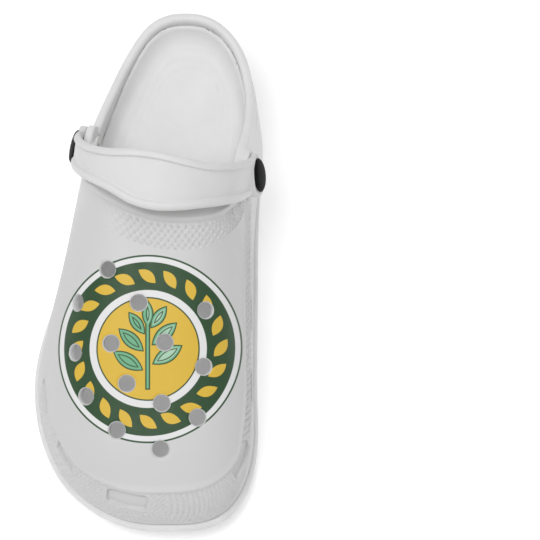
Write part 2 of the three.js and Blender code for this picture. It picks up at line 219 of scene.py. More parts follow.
def surface_net(rough, field, low, high, cell, margin=7.0):
    """Meshes field = 0 with one point in each cell that it passes through. The formula `rough` says where
    the surface can be: the full one is worked out only within `margin` of it."""
    axes = [np.arange(low[i], high[i] + cell, cell) for i in range(3)]
    grid = [g.ravel() for g in np.meshgrid(*axes, indexing="ij")]
    value = rough(*grid)
    near = np.abs(value) < margin
    value[near] = field(*[g[near] for g in grid])
    value = value.reshape([len(a) for a in axes])
    inside = value < 0
    cells = [n - 1 for n in inside.shape]
    corners = [(i, j, k) for i in (0, 1) for j in (0, 1) for k in (0, 1)]
    count = sum(
        inside[i:i + cells[0], j:j + cells[1], k:k + cells[2]].astype(np.int8) for i, j, k in corners
    )
    index = np.stack(np.nonzero((count > 0) & (count < 8)), axis=-1)
    number = np.full(cells, -1)
    number[tuple(index.T)] = np.arange(len(index))

    total = np.zeros((len(index), 3))
    crossings = np.zeros(len(index))
    for axis in range(3):
        for b in (0, 1):
            for c in (0, 1):
                start = np.zeros(3, int)
                start[(axis + 1) % 3] = b
                start[(axis + 2) % 3] = c
                end = start.copy()
                end[axis] = 1
                from_value = value[tuple((index + start).T)]
                to_value = value[tuple((index + end).T)]
                crossing = (from_value < 0) != (to_value < 0)
                along = np.where(crossing, from_value / np.where(crossing, from_value - to_value, 1), 0)
                point = start + along[:, None] * (end - start)
                total += crossing[:, None] * point
                crossings += crossing
    vertices = np.array(low) + (index + total / crossings[:, None]) * cell

    faces = []
    for axis in range(3):
        second = (axis + 1) % 3
        third = (axis + 2) % 3
        head = np.take(inside, range(0, cells[axis]), axis=axis)
        tail = np.take(inside, range(1, cells[axis] + 1), axis=axis)
        at = np.stack(np.nonzero(head != tail), axis=-1)
        keep = (at[:, second] > 0) & (at[:, third] > 0)
        keep &= (at[:, second] < cells[second]) & (at[:, third] < cells[third])
        at = at[keep]
        ring = []
        for b, c in ((-1, -1), (0, -1), (0, 0), (-1, 0)):
            shift = np.zeros(3, int)
            shift[second] = b
            shift[third] = c
            ring.append(number[tuple((at + shift).T)])
        quads = np.stack(ring, axis=-1)
        outward = head[tuple(at.T)]
        quads[~outward] = quads[~outward][:, ::-1]
        faces.append(quads)
    return vertices, np.concatenate(faces)


def pull_onto(field, vertices, reach, rounds=3):
    """Moves points along the slope onto field = 0, no further than reach in a round."""
    for _ in range(rounds):
        value, gradient = slope_of(field, *vertices.T)
        size = np.maximum(np.sum(gradient**2, axis=-1), 1e-3)
        step = (value / size)[:, None] * gradient
        length = np.maximum(np.linalg.norm(step, axis=-1, keepdims=True), 1e-9)
        vertices = vertices - step * np.minimum(1, reach / length)
    return vertices


def even_out(vertices, faces, field, reach, rounds):
    """Spreads the points evenly over the surface, and pulls them back onto it."""
    edges = np.concatenate([faces[:, [i, (i + 1) % 4]] for i in range(4)])
    degree = np.bincount(edges[:, 0], minlength=len(vertices))
    for _ in range(rounds):
        centre = np.stack([
            np.bincount(edges[:, 0], vertices[edges[:, 1], i], len(vertices)) / degree for i in range(3)
        ], axis=-1)
        vertices = vertices + 0.5 * (centre - vertices)
        vertices = pull_onto(field, vertices, reach, rounds=1)
    return pull_onto(field, vertices, reach)


def refine(vertices, faces, zone):
    """Splits each four-sided face whose centre lies in the zone into four. A neighbour takes the shared new
    points into its outline, so that nothing tears."""
    points = [tuple(v) for v in vertices]
    middles = {}

    def middle(a, b):
        key = (a, b) if a < b else (b, a)
        if key not in middles:
            middles[key] = len(points)
            points.append(tuple((points[a][i] + points[b][i]) / 2 for i in range(3)))
        return middles[key]

    centres = np.array([vertices[list(face)].mean(axis=0) for face in faces])
    marked = zone(*centres.T)
    split = []
    for face, is_marked, centre in zip(faces, marked, centres):
        if is_marked and len(face) == 4:
            sides = [middle(face[i], face[(i + 1) % 4]) for i in range(4)]
            hub = len(points)
            points.append(tuple(centre))
            split += [(face[i], sides[i], hub, sides[i - 1]) for i in range(4)]
    kept = []
    for face, is_marked in zip(faces, marked):
        if is_marked and len(face) == 4:
            continue
        outline = []
        for i, a in enumerate(face):
            b = face[(i + 1) % len(face)]
            outline.append(a)
            key = (a, b) if a < b else (b, a)
            if key in middles:
                outline.append(middles[key])
        kept.append(tuple(outline))
    return np.array(points), kept + split


def add_object(name, data):
    thing = bpy.data.objects.new(name, data)
    bpy.context.scene.collection.objects.link(thing)
    return thing


def make_piece(name, vertices, faces, marks=None):
    """A smooth-shaded object from points in millimetres. Marks are named numbers on its points."""
    mesh = bpy.data.meshes.new(name)
    mesh.from_pydata((vertices * MM).tolist(), [], [tuple(int(i) for i in face) for face in faces])
    mesh.polygons.foreach_set("use_smooth", np.ones(len(mesh.polygons), bool))
    for mark, values in (marks or {}).items():
        attribute = mesh.attributes.new(mark, "FLOAT", "POINT")
        attribute.data.foreach_set("value", np.asarray(values, np.float32))
    mesh.update()
    return add_object(name, mesh)


# -------- the shell's formula


def ground(y):
    """Height of the sole's underside."""
    toe = np.maximum(0, (FLAT_FRONT_Y - y) / (FLAT_FRONT_Y - WAIST_Y + FRONT_LENGTH))
    heel = np.maximum(0, (y - FLAT_REAR_Y) / (WAIST_Y + REAR_LENGTH - FLAT_REAR_Y))
    return TOE_SPRING * toe**2 + HEEL_SPRING * heel**2


def shell_base(y):
    """Height of the plane where the shell stands on the outsole."""
    return ground(y) + SOLE_THICKNESS


def front_level(y, z):
    """How far up a point lies on a sheet that is square to the front slope."""
    return y * math.sin(FRONT_SLOPE) + z * math.cos(FRONT_SLOPE)


def plan_norm(across, along, y):
    """How far out a point is in the plan: 0 in the middle, 1 on the outline. The heel is the rounder end."""
    power = np.where(y < WAIST_Y, PLAN_POWER, HEEL_PLAN_POWER)
    return (np.abs(across) ** power + np.abs(along) ** power) ** (1 / power)


def plan_ring(x, y, rise, inset):
    """How far out a point is in the plan at a rise: 0 in the middle, 1 on the wall."""
    lip = sole_lip(y) + inset
    along = (y - WAIST_Y) / (np.where(y < WAIST_Y, FRONT_LENGTH, REAR_LENGTH) - lip)
    lateral = lateral_lean(y)
    medial = medial_lean(y)
    middle = centre_x(y) + (lateral - medial) / 2 * rise
    width = half_width(y) - lip - (lateral + medial) / 2 * rise
    return plan_norm((x - middle) / width, along, y)


def dome(inset):
    """The shell's closed outer form, or the same form a wall's thickness further in."""
    def field(x, y, z):
        rise = (z - shell_base(y)) / (crown_height(y) - inset)
        ring = plan_ring(x, y, rise, inset)
        return ring**WALL_POWER + np.maximum(rise, 0) ** CROWN_POWER - 1
    return as_distance(field)


outer_dome = dome(0.0)
inner_dome = dome(WALL_THICKNESS)
footbed_side = dome(WALL_THICKNESS + GAP)


def below_collar(x, y, z):
    """How far a point lies below the collar's edge, or in front of the vamp's lip."""
    step = 0.5
    tilt = np.hypot(1, (collar_height(y + step) - collar_height(y - step)) / (2 * step))
    above = (z - collar_height(y)) / tilt
    behind = y - LIP_Y - LIP_SWEEP * np.minimum(x - LIP_MIDDLE_X, 0) ** 2
    return -smooth_min(above, behind, 8.0)


# -------- hinge frame

HINGE_AXIS = np.array([math.cos(HINGE_TURN), math.sin(HINGE_TURN), 0.0])
STRAP_UP = np.array([
    math.sin(HINGE_TURN) * math.cos(STRAP_RISE),
    -math.cos(HINGE_TURN) * math.cos(STRAP_RISE),
    math.sin(STRAP_RISE),
])
STRAP_ACROSS = np.cross(HINGE_AXIS, STRAP_UP)


def in_frame(x, y, z, *directions):
    """Coordinates from the hinge's middle along each direction."""
    offset = (x - HINGE_MIDDLE[0], y - HINGE_MIDDLE[1], z - HINGE_MIDDLE[2])
    return [sum(o * d for o, d in zip(offset, direction)) for direction in directions]


def hinge_radius(x, y, z):
    """Distance along the hinge axis from its middle, and distance from the axis."""
    along, = in_frame(x, y, z, HINGE_AXIS)
    offset = (x - HINGE_MIDDLE[0]) ** 2 + (y - HINGE_MIDDLE[1]) ** 2 + (z - HINGE_MIDDLE[2]) ** 2
    return along, np.sqrt(np.maximum(offset - along**2, 0))


def bar(distance, radial, start, end, radius, k):
    """A round bar on the hinge axis, with edges rounded over k."""
    return smooth_max(np.abs(distance - (start + end) / 2) - (end - start) / 2, radial - radius, k)


# -------- vents and ports


def vent_axes():
    """Each vent's point on the shell and the shell's direction there."""
    x, y = np.array(VENTS, float).T
    low = shell_base(y)
    high = low + crown_height(y)
    for _ in range(30):
        z = (low + high) / 2
        inside = outer_dome(x, y, z) < 0
        low = np.where(inside, z, low)
        high = np.where(inside, high, z)
    _, gradient = slope_of(outer_dome, x, y, low)
    normal = gradient / np.linalg.norm(gradient, axis=-1, keepdims=True)
    return np.stack([x, y, low], axis=-1), normal


VENT_POINTS, VENT_NORMALS = vent_axes()


def vent_distance(x, y, z):
    """Distance from the nearest vent's wall, negative inside the vent."""
    nearest = np.full(np.shape(x), 50.0)
    for point, normal in zip(VENT_POINTS, VENT_NORMALS):
        offset = np.stack([x - point[0], y - point[1], z - point[2]], axis=-1)
        along = offset @ normal
        radial = np.sqrt(np.maximum(np.sum(offset**2, axis=-1) - along**2, 0))
        nearest = np.minimum(nearest, np.where(np.abs(along) < 10, radial - VENT_RADIUS, 50.0))
    return nearest


def wall_point(angle, height):
    """The point of the wall at a plan angle and a height above the sole."""
    ring = (abs(math.cos(angle)) ** PLAN_POWER + abs(math.sin(angle)) ** PLAN_POWER) ** (-1 / PLAN_POWER)
    length = FRONT_LENGTH if angle < 0 else REAR_LENGTH
    lip = float(sole_lip(WAIST_Y + ring * math.sin(angle) * length))
    rise = height / float(crown_height(WAIST_Y + ring * math.sin(angle) * (length - lip)))
    ring *= (1 - rise**CROWN_POWER) ** (1 / WALL_POWER)
    y = WAIST_Y + ring * math.sin(angle) * (length - lip)
    lateral = float(lateral_lean(y))
    medial = float(medial_lean(y))
    width = float(half_width(y)) - lip - (lateral + medial) / 2 * rise
    x = float(centre_x(y)) + (lateral - medial) / 2 * rise + width * ring * math.cos(angle)
    return np.array([x, y, float(shell_base(y)) + float(crown_height(y)) * rise])


def port_frames():
    """Each port's middle on the wall, with the directions along the wall and up it."""
    frames = []
    for degrees, length in PORTS:
        angle = math.radians(degrees)
        along = wall_point(angle + 0.02, PORT_RISE) - wall_point(angle - 0.02, PORT_RISE)
        along /= np.linalg.norm(along)
        outward = np.cross(along, wall_point(angle, PORT_RISE + 1) - wall_point(angle, PORT_RISE - 1))
        outward /= np.linalg.norm(outward)
        frames.append((wall_point(angle, PORT_RISE), along, np.cross(outward, along), outward, length))
    return frames


PORT_FRAMES = port_frames()


def port_distance(x, y, z):
    """Distance from the outline of the nearest port, negative inside it."""
    nearest = np.full(np.shape(x), 50.0)
    for middle, along, up, outward, length in PORT_FRAMES:
        offset = np.stack([x - middle[0], y - middle[1], z - middle[2]], axis=-1)
        opening = rounded_box(offset @ along, offset @ up, length / 2, PORT_HEIGHT / 2, 2.0)
        nearest = np.minimum(nearest, np.where(np.abs(offset @ outward) < 9, opening, 50.0))
    return nearest


# -------- moulded relief on the shell

DOT_PITCH_X = 3.4
DOT_PITCH_Y = 4.4
BAND_PITCH_ALONG = 3.1
BAND_PITCH_UP = 4.6
HATCH_PITCH = 3.9
BEAD_FOOT = 31.6
PANEL_FOOT = 17.5
PANEL_REACH = 33.0


def vamp_lines(x, y, z):
    """Distances in front of the foot of the lip's bead, and behind the foot of the textured panel. Both
    lines curve like a smile, and the panel's turns up steeply on the medial side."""
    across = x - LIP_MIDDLE_X
    level = front_level(y, z)
    medial = np.maximum(across, 0)
    lateral = np.minimum(across, 0)
    bead_foot = BEAD_FOOT + 0.0087 * lateral**2 + 0.0032 * medial**2 + 1.3e-5 * medial**4
    turn_up = 1 - np.sqrt(1 - np.minimum(medial / PANEL_REACH, 1) ** 2.5)
    panel_foot = PANEL_FOOT + 0.0085 * lateral**2 + 28 * turn_up
    return bead_foot - level, level - panel_foot


def panel_inset(x, y, z):
    """How far a point lies inside the textured panel's outline."""
    before_bead, behind_foot = vamp_lines(x, y, z)
    reach = LIP_MIDDLE_X + PANEL_REACH - 0.4 - x
    return smooth_min(smooth_min(before_bead - 1.2, behind_foot, 3.0), reach, 2.0)


def side_band(x, y, z):
    """Distances below the top and above the foot of the textured band round the forefoot."""
    up = z - shell_base(y)
    medial = ramp(x - centre_x(y), -6, 14)
    top = medial * medial_band_top(y) + (1 - medial) * lateral_band_top(y)
    foot = medial * medial_band_foot(y) + (1 - medial) * lateral_band_foot(y)
    return top - up, up - foot


def vamp_relief(x, y, z):
    """The rolled bead along the lip, and the rows of dots on the panel in front of it."""
    before_bead, behind_foot = vamp_lines(x, y, z)
    row = (behind_foot - before_bead) / 2
    along = (x - LIP_MIDDLE_X) + 0.9 * np.maximum(y + 8, 0) * ramp(x, 18, 40)
    dots = np.cos(2 * math.pi * along / DOT_PITCH_X) * np.cos(2 * math.pi * row / DOT_PITCH_Y)
    fade = ramp(x, -24, 0)
    panel = ramp(panel_inset(x, y, z), -0.5, 0.9)
    shown = ramp(x, -34, -14) * ramp(32 - y, 0, 14)
    bead = shown * (1.5 * ridge(before_bead + 1.6, 1.4) - 0.6 * ridge(before_bead - 0.8, 0.8))
    rounded = (np.sqrt(dots**2 + 0.1) + dots) / 2
    return panel * fade * (0.95 * rounded - 0.5) + bead


def band_relief(x, y, z):
    """Small diamonds round the toe, that run into slanting ribs along the medial side."""
    below_top, above_foot = side_band(x, y, z)
    toe_x = float(centre_x(-145))
    along = np.abs(x - toe_x) + (y + 145)
    dots = np.cos(2 * math.pi * along / BAND_PITCH_ALONG) * np.cos(2 * math.pi * below_top / BAND_PITCH_UP)
    ribs = 0.5 + 0.8 * np.cos(2 * math.pi * (y + 0.8 * z) / HATCH_PITCH)
    on_side = ramp(x, 20, 40) * ramp(y, -118, -92)
    pattern = (1 - on_side) * (0.45 + 0.5 * dots) + on_side * ribs
    rear_end = np.where(x > 0, 44, -60)
    shown = ramp(rear_end - y, 0, 22) * ramp(x + 0.35 * y, -105, -65)
    inside = ramp(below_top, 0.4, 1.4) * ramp(above_foot, 0, 1.5)
    clear = ramp(port_distance(x, y, z), 0.5, 1.5)
    welt = ridge(below_top, 1.0)
    return shown * (inside * clear * (0.85 * pattern - 0.45) + 0.8 * welt)


def collar_relief(x, y, z):
    """A bead along the collar's edge, and behind the ears a fine step below it."""
    under = below_collar(x, y, z)
    behind_ears = ramp(y, 62, 80)
    bead = 0.7 * ridge(under - 2.0, 1.9) * ramp(y, 22, 40)
    step = behind_ears * (0.45 * ridge(under - 15.0, 1.0) - 0.35 * ridge(under - 16.8, 0.9))
    return bead + step


def shell_relief(x, y, z):
    return vamp_relief(x, y, z) + band_relief(x, y, z) + collar_relief(x, y, z)


# -------- upper


def upper_rough(x, y, z):
    """The bare wall, without relief or openings."""
    outer = outer_dome(x, y, z)
    wall = np.abs(outer + WALL_THICKNESS / 2) - WALL_THICKNESS / 2
    return np.maximum(np.maximum(wall, -below_collar(x, y, z) - 8), shell_base(y) - z)


def upper_field(x, y, z):
    outer = outer_dome(x, y, z) - shell_relief(x, y, z)
    shell = smooth_max(outer, -inner_dome(x, y, z), 0.8)
    shell = smooth_max(shell, -below_collar(x, y, z), 1.8 + 1.4 * ramp(y, 5, 30))
    along, radial = hinge_radius(x, y, z)
    side = np.abs(along)
    ear_inside = EAR_FACE - EAR_THICKNESS
    tab_room = bar(side, radial, EAR_FACE, EAR_FACE + 15, EAR_RADIUS + SOCKET_CLEARANCE, 0.5)
    flange_room = bar(side, radial, EAR_FACE - 30, ear_inside, FLANGE_RADIUS + SOCKET_CLEARANCE, 0.5)
    shell = smooth_max(shell, -tab_room, 0.9)
    shell = smooth_max(shell, -flange_room, 0.9)
    ear = bar(side, radial, ear_inside, EAR_FACE, EAR_RADIUS, 1.4)
    shell = smooth_min(shell, ear, 1.6)
    shell = smooth_max(shell, SLEEVE_RADIUS + GAP / 2 - radial, 0.4)
    shell = smooth_max(shell, -vent_distance(x, y, z), 1.5)
    pocket = np.maximum(port_distance(x, y, z), -outer_dome(x, y, z) - PORT_DEPTH)
    shell = smooth_max(shell, -pocket, 1.0)
    return smooth_max(shell, shell_base(y) - z, 0.6)


def textured_zone(x, y, z):
    """Where the outer skin carries the panel's dots or the band's pattern."""
    below_top, above_foot = side_band(x, y, z)
    outside = outer_dome(x, y, z) > -1.6
    in_patch = (panel_inset(x, y, z) > -1.2) & (x > -24)
    in_band = (below_top > -2) & (above_foot > -1) & (y < np.where(x > 0, 42, -60)) & (x + 0.35 * y > -100)
    return outside & (in_patch | in_band)


def dotted_zone(x, y, z):
    """The panel's dots alone, which need a finer mesh than the band."""
    return (outer_dome(x, y, z) > -1.6) & (panel_inset(x, y, z) > -0.6) & (x > -20)


def upper_piece():
    vertices, faces = surface_net(upper_rough, upper_field, (-64, -148, 7), (66, 149, 104), CELL)
    vertices = even_out(vertices, faces, upper_field, CELL, rounds=3)
    faces = [tuple(face) for face in faces]
    for zone, reach in ((textured_zone, 0.6), (dotted_zone, 0.4)):
        vertices, faces = refine(vertices, faces, zone)
        vertices = pull_onto(upper_field, vertices, reach)
    marks = {
        "vent_distance": vent_distance(*vertices.T),
        "skin_depth": -outer_dome(*vertices.T),
    }
    return make_piece("upper_shell", vertices, faces, marks)


# -------- outsole

TREAD_PITCH = 11.0
TREAD_DEPTH = 2.2


def plan_edge(x, y):
    """Distance from the sole's outline, negative inside it."""
    def field(x, y, z):
        along = (y - WAIST_Y) / np.where(y < WAIST_Y, FRONT_LENGTH, REAR_LENGTH)
        across = (x - centre_x(y)) / half_width(y)
        return plan_norm(across, along, y) - 1
    return as_distance(field)(x, y, np.zeros_like(x))


def tread_depth(x, y, edge):
    """Depth of the tread's grooves: wavy bars at ball and heel, inside a rim that follows the outline."""
    wave = y + 3.0 * np.sin(x / 7.0)
    groove = np.abs((wave / TREAD_PITCH) % 1 - 0.5) * TREAD_PITCH
    bars = 1 - ramp(groove, 0.9, 1.9)
    lines = np.abs(((x - centre_x(y)) / 22.0) % 1 - 0.5) * 22.0
    bars = np.maximum(bars, 1 - ramp(lines, 0.8, 1.6))
    in_arch = ramp(y, -12, -4) * ramp(52 - y, 0, 8)
    inner = ramp(-edge, 7.5, 8.5)
    channel = (1 - ramp(np.abs(-edge - 7.0), 0.7, 1.6)) * (1 - in_arch)
    return np.maximum(bars * inner * (1 - in_arch), channel) * TREAD_DEPTH


def outsole_field(x, y, z):
    edge = plan_edge(x, y)
    height = z - ground(y)
    top = SOLE_THICKNESS - BOND_GAP
    bulge = 1.6 * ((height / top - 0.55) / 0.55) ** 2 + 0.35 * ridge(height - 5.6, 0.35)
    body = smooth_max(edge + bulge - 0.1, height - top, 1.2)
    return smooth_max(body, tread_depth(x, y, edge) - height, 1.0)


def outsole_rough(x, y, z):
    """The plain slab, without its tread."""
    height = z - ground(y)
    return np.maximum(plan_edge(x, y), np.abs(height - SOLE_THICKNESS / 2) - SOLE_THICKNESS / 2)


def outsole_piece():
    cell = CELL * 1.15
    vertices, faces = surface_net(outsole_rough, outsole_field, (-64, -148, -2), (66, 149, 22), cell)
    vertices = even_out(vertices, faces, outsole_field, cell, rounds=3)
    return make_piece("outsole_tread", vertices, faces)


# -------- footbed


def footbed_bowl(x, y):
    """Height of the footbed's dished top, without the small details."""
    ring = plan_ring(x, y, np.zeros_like(x), WALL_THICKNESS)
    return footbed_height(y) + footbed_dish(y) * np.minimum(ring, 1.1) ** 4


def footbed_field(x, y, z):
    edge = plan_edge(x, y) + WALL_THICKNESS
    arcs = ramp(y, 70, 95) * sum(ridge(edge + inset, 0.8) for inset in (14, 19, 24))
    seams = (1 - ramp(y, 70, 95)) * ramp(y, -100, -60) * ridge(edge + 13, 0.8)
    side = footbed_side(x, y, z)
    radius = 8.0 + 3.0 * ramp(y, 80, 130)
    turn_up = radius * (1 - np.sqrt(1 - np.clip(1 + side / radius, 0, 0.84) ** 2))
    top = footbed_bowl(x, y) + turn_up - 0.35 * (arcs + seams)
    body = smooth_max(side - 0.28, z - top, 0.9)
    return smooth_max(body, shell_base(y) - z, 0.8)


def footbed_rough(x, y, z):
    """The bowl without its turned-up edge and its fine lines."""
    top = footbed_bowl(x, y) + 3
    base = shell_base(y)
    return np.maximum(footbed_side(x, y, z), np.abs(z - (top + base) / 2) - (top - base) / 2)


def footbed_piece():
    cell = CELL * 1.2
    vertices, faces = surface_net(footbed_rough, footbed_field, (-60, -144, 7), (62, 145, 60), cell)
    vertices = even_out(vertices, faces, footbed_field, cell, rounds=3)
    return make_piece("footbed_insole", vertices, faces)


# -------- heel strap


STRAP_HALF_SPAN = EAR_FACE + GAP + STRAP_THICKNESS / 2
TAB_FACE = EAR_FACE + GAP + TAB_THICKNESS


def strap_curve(u, v, _):
    """The strap's arch, seen along its width, on which it doesn't depend: negative inside the loop."""
    share = np.clip((v - STRAP_LEAN_START) / (STRAP_REACH - STRAP_LEAN_START), 0, 1)
    half_span = STRAP_HALF_SPAN * (1 - np.where(u < 0, STRAP_LEAN * share * (2 - share), 0))
    around = np.abs(u / half_span) ** STRAP_POWER + np.abs(v / STRAP_REACH) ** STRAP_POWER
    return around ** (1 / STRAP_POWER) - 1


strap_arch = as_distance(strap_curve)


def head_direction(side):
    """The tilted direction in which a tab's face and its rivet look."""
    turn = TAB_TILT_TURN[side]
    back = np.array([-HINGE_AXIS[1], HINGE_AXIS[0], 0])
    lean = math.sin(turn) * back + np.array([0, 0, math.cos(turn)])
    return side * HINGE_AXIS * math.cos(TAB_TILT) + lean * math.sin(TAB_TILT)


def tab_face(x, y, z):
    """Distance out from the nearer tab's tilted face, and distance from its rivet head's axis."""
    along, = in_frame(x, y, z, HINGE_AXIS)
    out = 0
    total = 0
    for side in (-1, 1):
        here = (along < 0) == (side < 0)
        centre = HINGE_MIDDLE + side * TAB_FACE * HINGE_AXIS
        offset = (x - centre[0], y - centre[1], z - centre[2])
        out = out + here * sum(o * d for o, d in zip(offset, head_direction(side)))
        total = total + here * sum(o * o for o in offset)
    return out, np.sqrt(np.maximum(total - out**2, 0))


def strap_rim(beside):
    """Width of the band's raised rim: the front one is the wider."""
    return np.where(beside > 0, 4.4, 3.7)


def strap_rough(x, y, z):
    """A plain band with two plain tabs."""
    u, v, w = in_frame(x, y, z, HINGE_AXIS, STRAP_UP, STRAP_ACROSS)
    across = np.abs(w - strap_offset(u)) - strap_half_width(u)
    band = np.maximum(np.maximum(np.abs(strap_arch(u, v, w)) - 2, across), -v - 12)
    along, radial = hinge_radius(x, y, z)
    tab = np.maximum(np.abs(np.abs(along) - EAR_FACE - 4) - 5, radial - TAB_RADIUS)
    return np.minimum(band, tab)


def strap_field(x, y, z):
    u, v, w = in_frame(x, y, z, HINGE_AXIS, STRAP_UP, STRAP_ACROSS)
    depth = strap_arch(u, v, w)
    beside = w - strap_offset(u)
    edge = strap_half_width(u) - np.abs(beside)
    rim = strap_rim(beside)
    panel = ramp(v, 15, 17.5) * ramp(edge, rim - 0.55, rim + 0.55)
    swell = 0.3 * ridge(edge - rim / 2 - 0.4, rim / 3)
    band = np.maximum(depth - 2.2 - swell + 1.5 * panel, -depth - 1.75)
    band = smooth_max(band, -edge, 2.6)
    band = smooth_max(band, -v - 1, 1.0)
    along, radial = hinge_radius(x, y, z)
    side = np.abs(along)
    out, head_radius = tab_face(x, y, z)
    # Past a tab's tilted face the band is cut back, but no thinner than this.
    kept = depth - 0.8 - 1.8 * ramp(v, 14, 30)
    band = smooth_max(band, np.minimum(out - 0.4, kept), 1.2)
    tab = smooth_max(smooth_max(EAR_FACE + GAP - side, out, 0.6), radial - TAB_RADIUS, 2.2)
    strap = smooth_min(band, tab, 3.0) + 0.55 * ridge(head_radius - 12.6, 0.8) * ramp(out, -7, -3)
    seat = smooth_max(-out, head_radius - HEAD_RADIUS - 0.35, 0.3)
    strap = smooth_max(strap, -seat, 0.5)
    strap = smooth_max(strap, EAR_FACE + GAP - 0.05 - side - 80 * ramp(v, 6, 16), 0.3)
    return smooth_max(strap, POST_RADIUS + GAP / 2 - radial, 0.4)


def groove_zone(x, y, z):
    """Where the band's rims step down to its recessed panel."""
    u, v, w = in_frame(x, y, z, HINGE_AXIS, STRAP_UP, STRAP_ACROSS)
    beside = w - strap_offset(u)
    inside_rim = strap_half_width(u) - np.abs(beside) - strap_rim(beside)
    return (np.abs(inside_rim) < 1.3) & (v > 12) & (strap_arch(u, v, w) > 0)


def strap_piece():
    cell = CELL * 0.75
    vertices, faces = surface_net(strap_rough, strap_field, (-47, -14, 43), (66, 69, 134), cell)
    vertices = even_out(vertices, faces, strap_field, cell, rounds=3)
    faces = [tuple(face) for face in faces]
    vertices, faces = refine(vertices, faces, groove_zone)
    vertices = pull_onto(strap_field, vertices, 0.4)
    return make_piece("heel_strap_band", vertices, faces)


# -------- rivets


def turned_piece(name, profile, origin, direction, steps=96):
    """A solid of revolution: profile points are (radius, height), from one end of the axis to the other."""
    rings = []
    vertices = []
    for radius, height in profile:
        if radius == 0:
            rings.append([len(vertices)] * steps)
            vertices.append((0, 0, height))
            continue
        rings.append(list(range(len(vertices), len(vertices) + steps)))
        for i in range(steps):
            turn = 2 * math.pi * i / steps
            vertices.append((radius * math.cos(turn), radius * math.sin(turn), height))
    faces = []
    closed = profile[0][0] > 0
    pairs = list(zip(rings, rings[1:])) + ([(rings[-1], rings[0])] if closed else [])
    for low, high in pairs:
        for i in range(steps):
            k = (i + 1) % steps
            corners = [low[i], low[k], high[k], high[i]]
            face = [c for j, c in enumerate(corners) if c != corners[j - 1]]
            faces.append(tuple(face))
    turn = Vector((0, 0, 1)).rotation_difference(Vector(direction)).to_matrix()
    placed = np.array([tuple(turn @ Vector(v)) for v in vertices]) + origin
    return make_piece(name, placed, faces)


def arc(centre_r, centre_h, radius, start, end, steps=6):
    """Points of a quarter-round in a profile, from one angle in degrees to another."""
    angles = np.radians(np.linspace(start, end, steps))
    return [(centre_r + radius * math.cos(a), centre_h + radius * math.sin(a)) for a in angles]


def stud_piece(side, name):
    """Domed head with a rounded rim and a shallow ring, on the tab's tilted face, and its post."""
    origin = HINGE_MIDDLE + side * HINGE_AXIS * (TAB_FACE + GAP)
    shoulder = 1.15
    crown = [
        (HEAD_RADIUS * 0.92 * math.cos(a), shoulder + (HEAD_RISE - shoulder) * math.sin(a))
        for a in np.radians(np.linspace(8, 84, 16))
    ]
    rim = arc(HEAD_RADIUS - 0.45, 0.55, 0.45, -60, 80)
    head = [(0, 0), (HEAD_RADIUS - 0.4, 0)] + rim + crown + [(0, HEAD_RISE)]
    stud = turned_piece(name, head, origin, head_direction(side))
    reach = EAR_THICKNESS + FLANGE_THICKNESS + GAP + TAB_THICKNESS + GAP + 1.2
    foot = arc(POST_RADIUS - 0.4, 0.4, 0.4, -60, 0)
    post = [(0, 0), (POST_RADIUS - 0.4, 0)] + foot + [(POST_RADIUS, reach), (0, reach)]
    start = HINGE_MIDDLE + side * HINGE_AXIS * (EAR_FACE - EAR_THICKNESS - FLANGE_THICKNESS)
    return stud, turned_piece(name + "_post", post, start, side * HINGE_AXIS, steps=48)


def socket_piece(side, name):
    """Flanged sleeve seen on the inside of the ear."""
    flange_foot = EAR_FACE - EAR_THICKNESS - GAP - FLANGE_THICKNESS
    length = EAR_FACE - 0.6 - flange_foot
    bore = POST_RADIUS + GAP
    profile = (
        [(bore + 0.3, 0), (FLANGE_RADIUS - 0.6, 0)]
        + arc(FLANGE_RADIUS - 0.6, 0.6, 0.6, -70, 0)
        + [(FLANGE_RADIUS, FLANGE_THICKNESS), (SLEEVE_RADIUS, FLANGE_THICKNESS), (SLEEVE_RADIUS, length)]
        + [(bore, length), (bore, 0.3)]
    )
    start = HINGE_MIDDLE + side * HINGE_AXIS * flange_foot
    return turned_piece(name, profile, start, side * HINGE_AXIS, steps=64)


# -------- materials


class Number:
    """A number worked out by shader nodes, with the usual arithmetic."""

    def __init__(self, tree, socket):
        self.tree = tree
        self.socket = socket

    def do(self, operation, *others):
        node = self.tree.nodes.new("ShaderNodeMath")
        node.operation = operation
        for slot, value in zip(node.inputs, (self, *others)):
            if isinstance(value, Number):
                self.tree.links.new(value.socket, slot)
            else:
                slot.default_value = value
        return Number(self.tree, node.outputs[0])

    def __add__(self, other):
        return self.do("ADD", other)

    def __sub__(self, other):
        return self.do("SUBTRACT", other)

    def __mul__(self, other):
        return self.do("MULTIPLY", other)

    def __neg__(self):
        return self.do("MULTIPLY", -1.0)

    def __abs__(self):
        return self.do("ABSOLUTE")

    def mapped(self, from_range, to_range, interpolation="LINEAR"):
        """The number carried from one range onto another, and held at its ends."""
        node = self.tree.nodes.new("ShaderNodeMapRange")
        node.interpolation_type = interpolation
        self.tree.links.new(self.socket, node.inputs["Value"])
        for name, value in zip(("From Min", "From Max", "To Min", "To Max"), (*from_range, *to_range)):
            node.inputs[name].default_value = value
        return Number(self.tree, node.outputs["Result"])

    def within(self, softness=0.15):
        """1 where the number is below zero, 0 where it is above, with a soft edge."""
        return self.mapped((-softness, softness), (1, 0), "SMOOTHSTEP")

    def spread(self, low, high):
        """Noise around 0.5, carried onto a range."""
        return self.mapped((0.3, 0.7), (low, high))


def object_place(tree):
    """The surface point's place in the part's frame, as an output in metres."""
    return tree.nodes.new("ShaderNodeTexCoord").outputs["Object"]


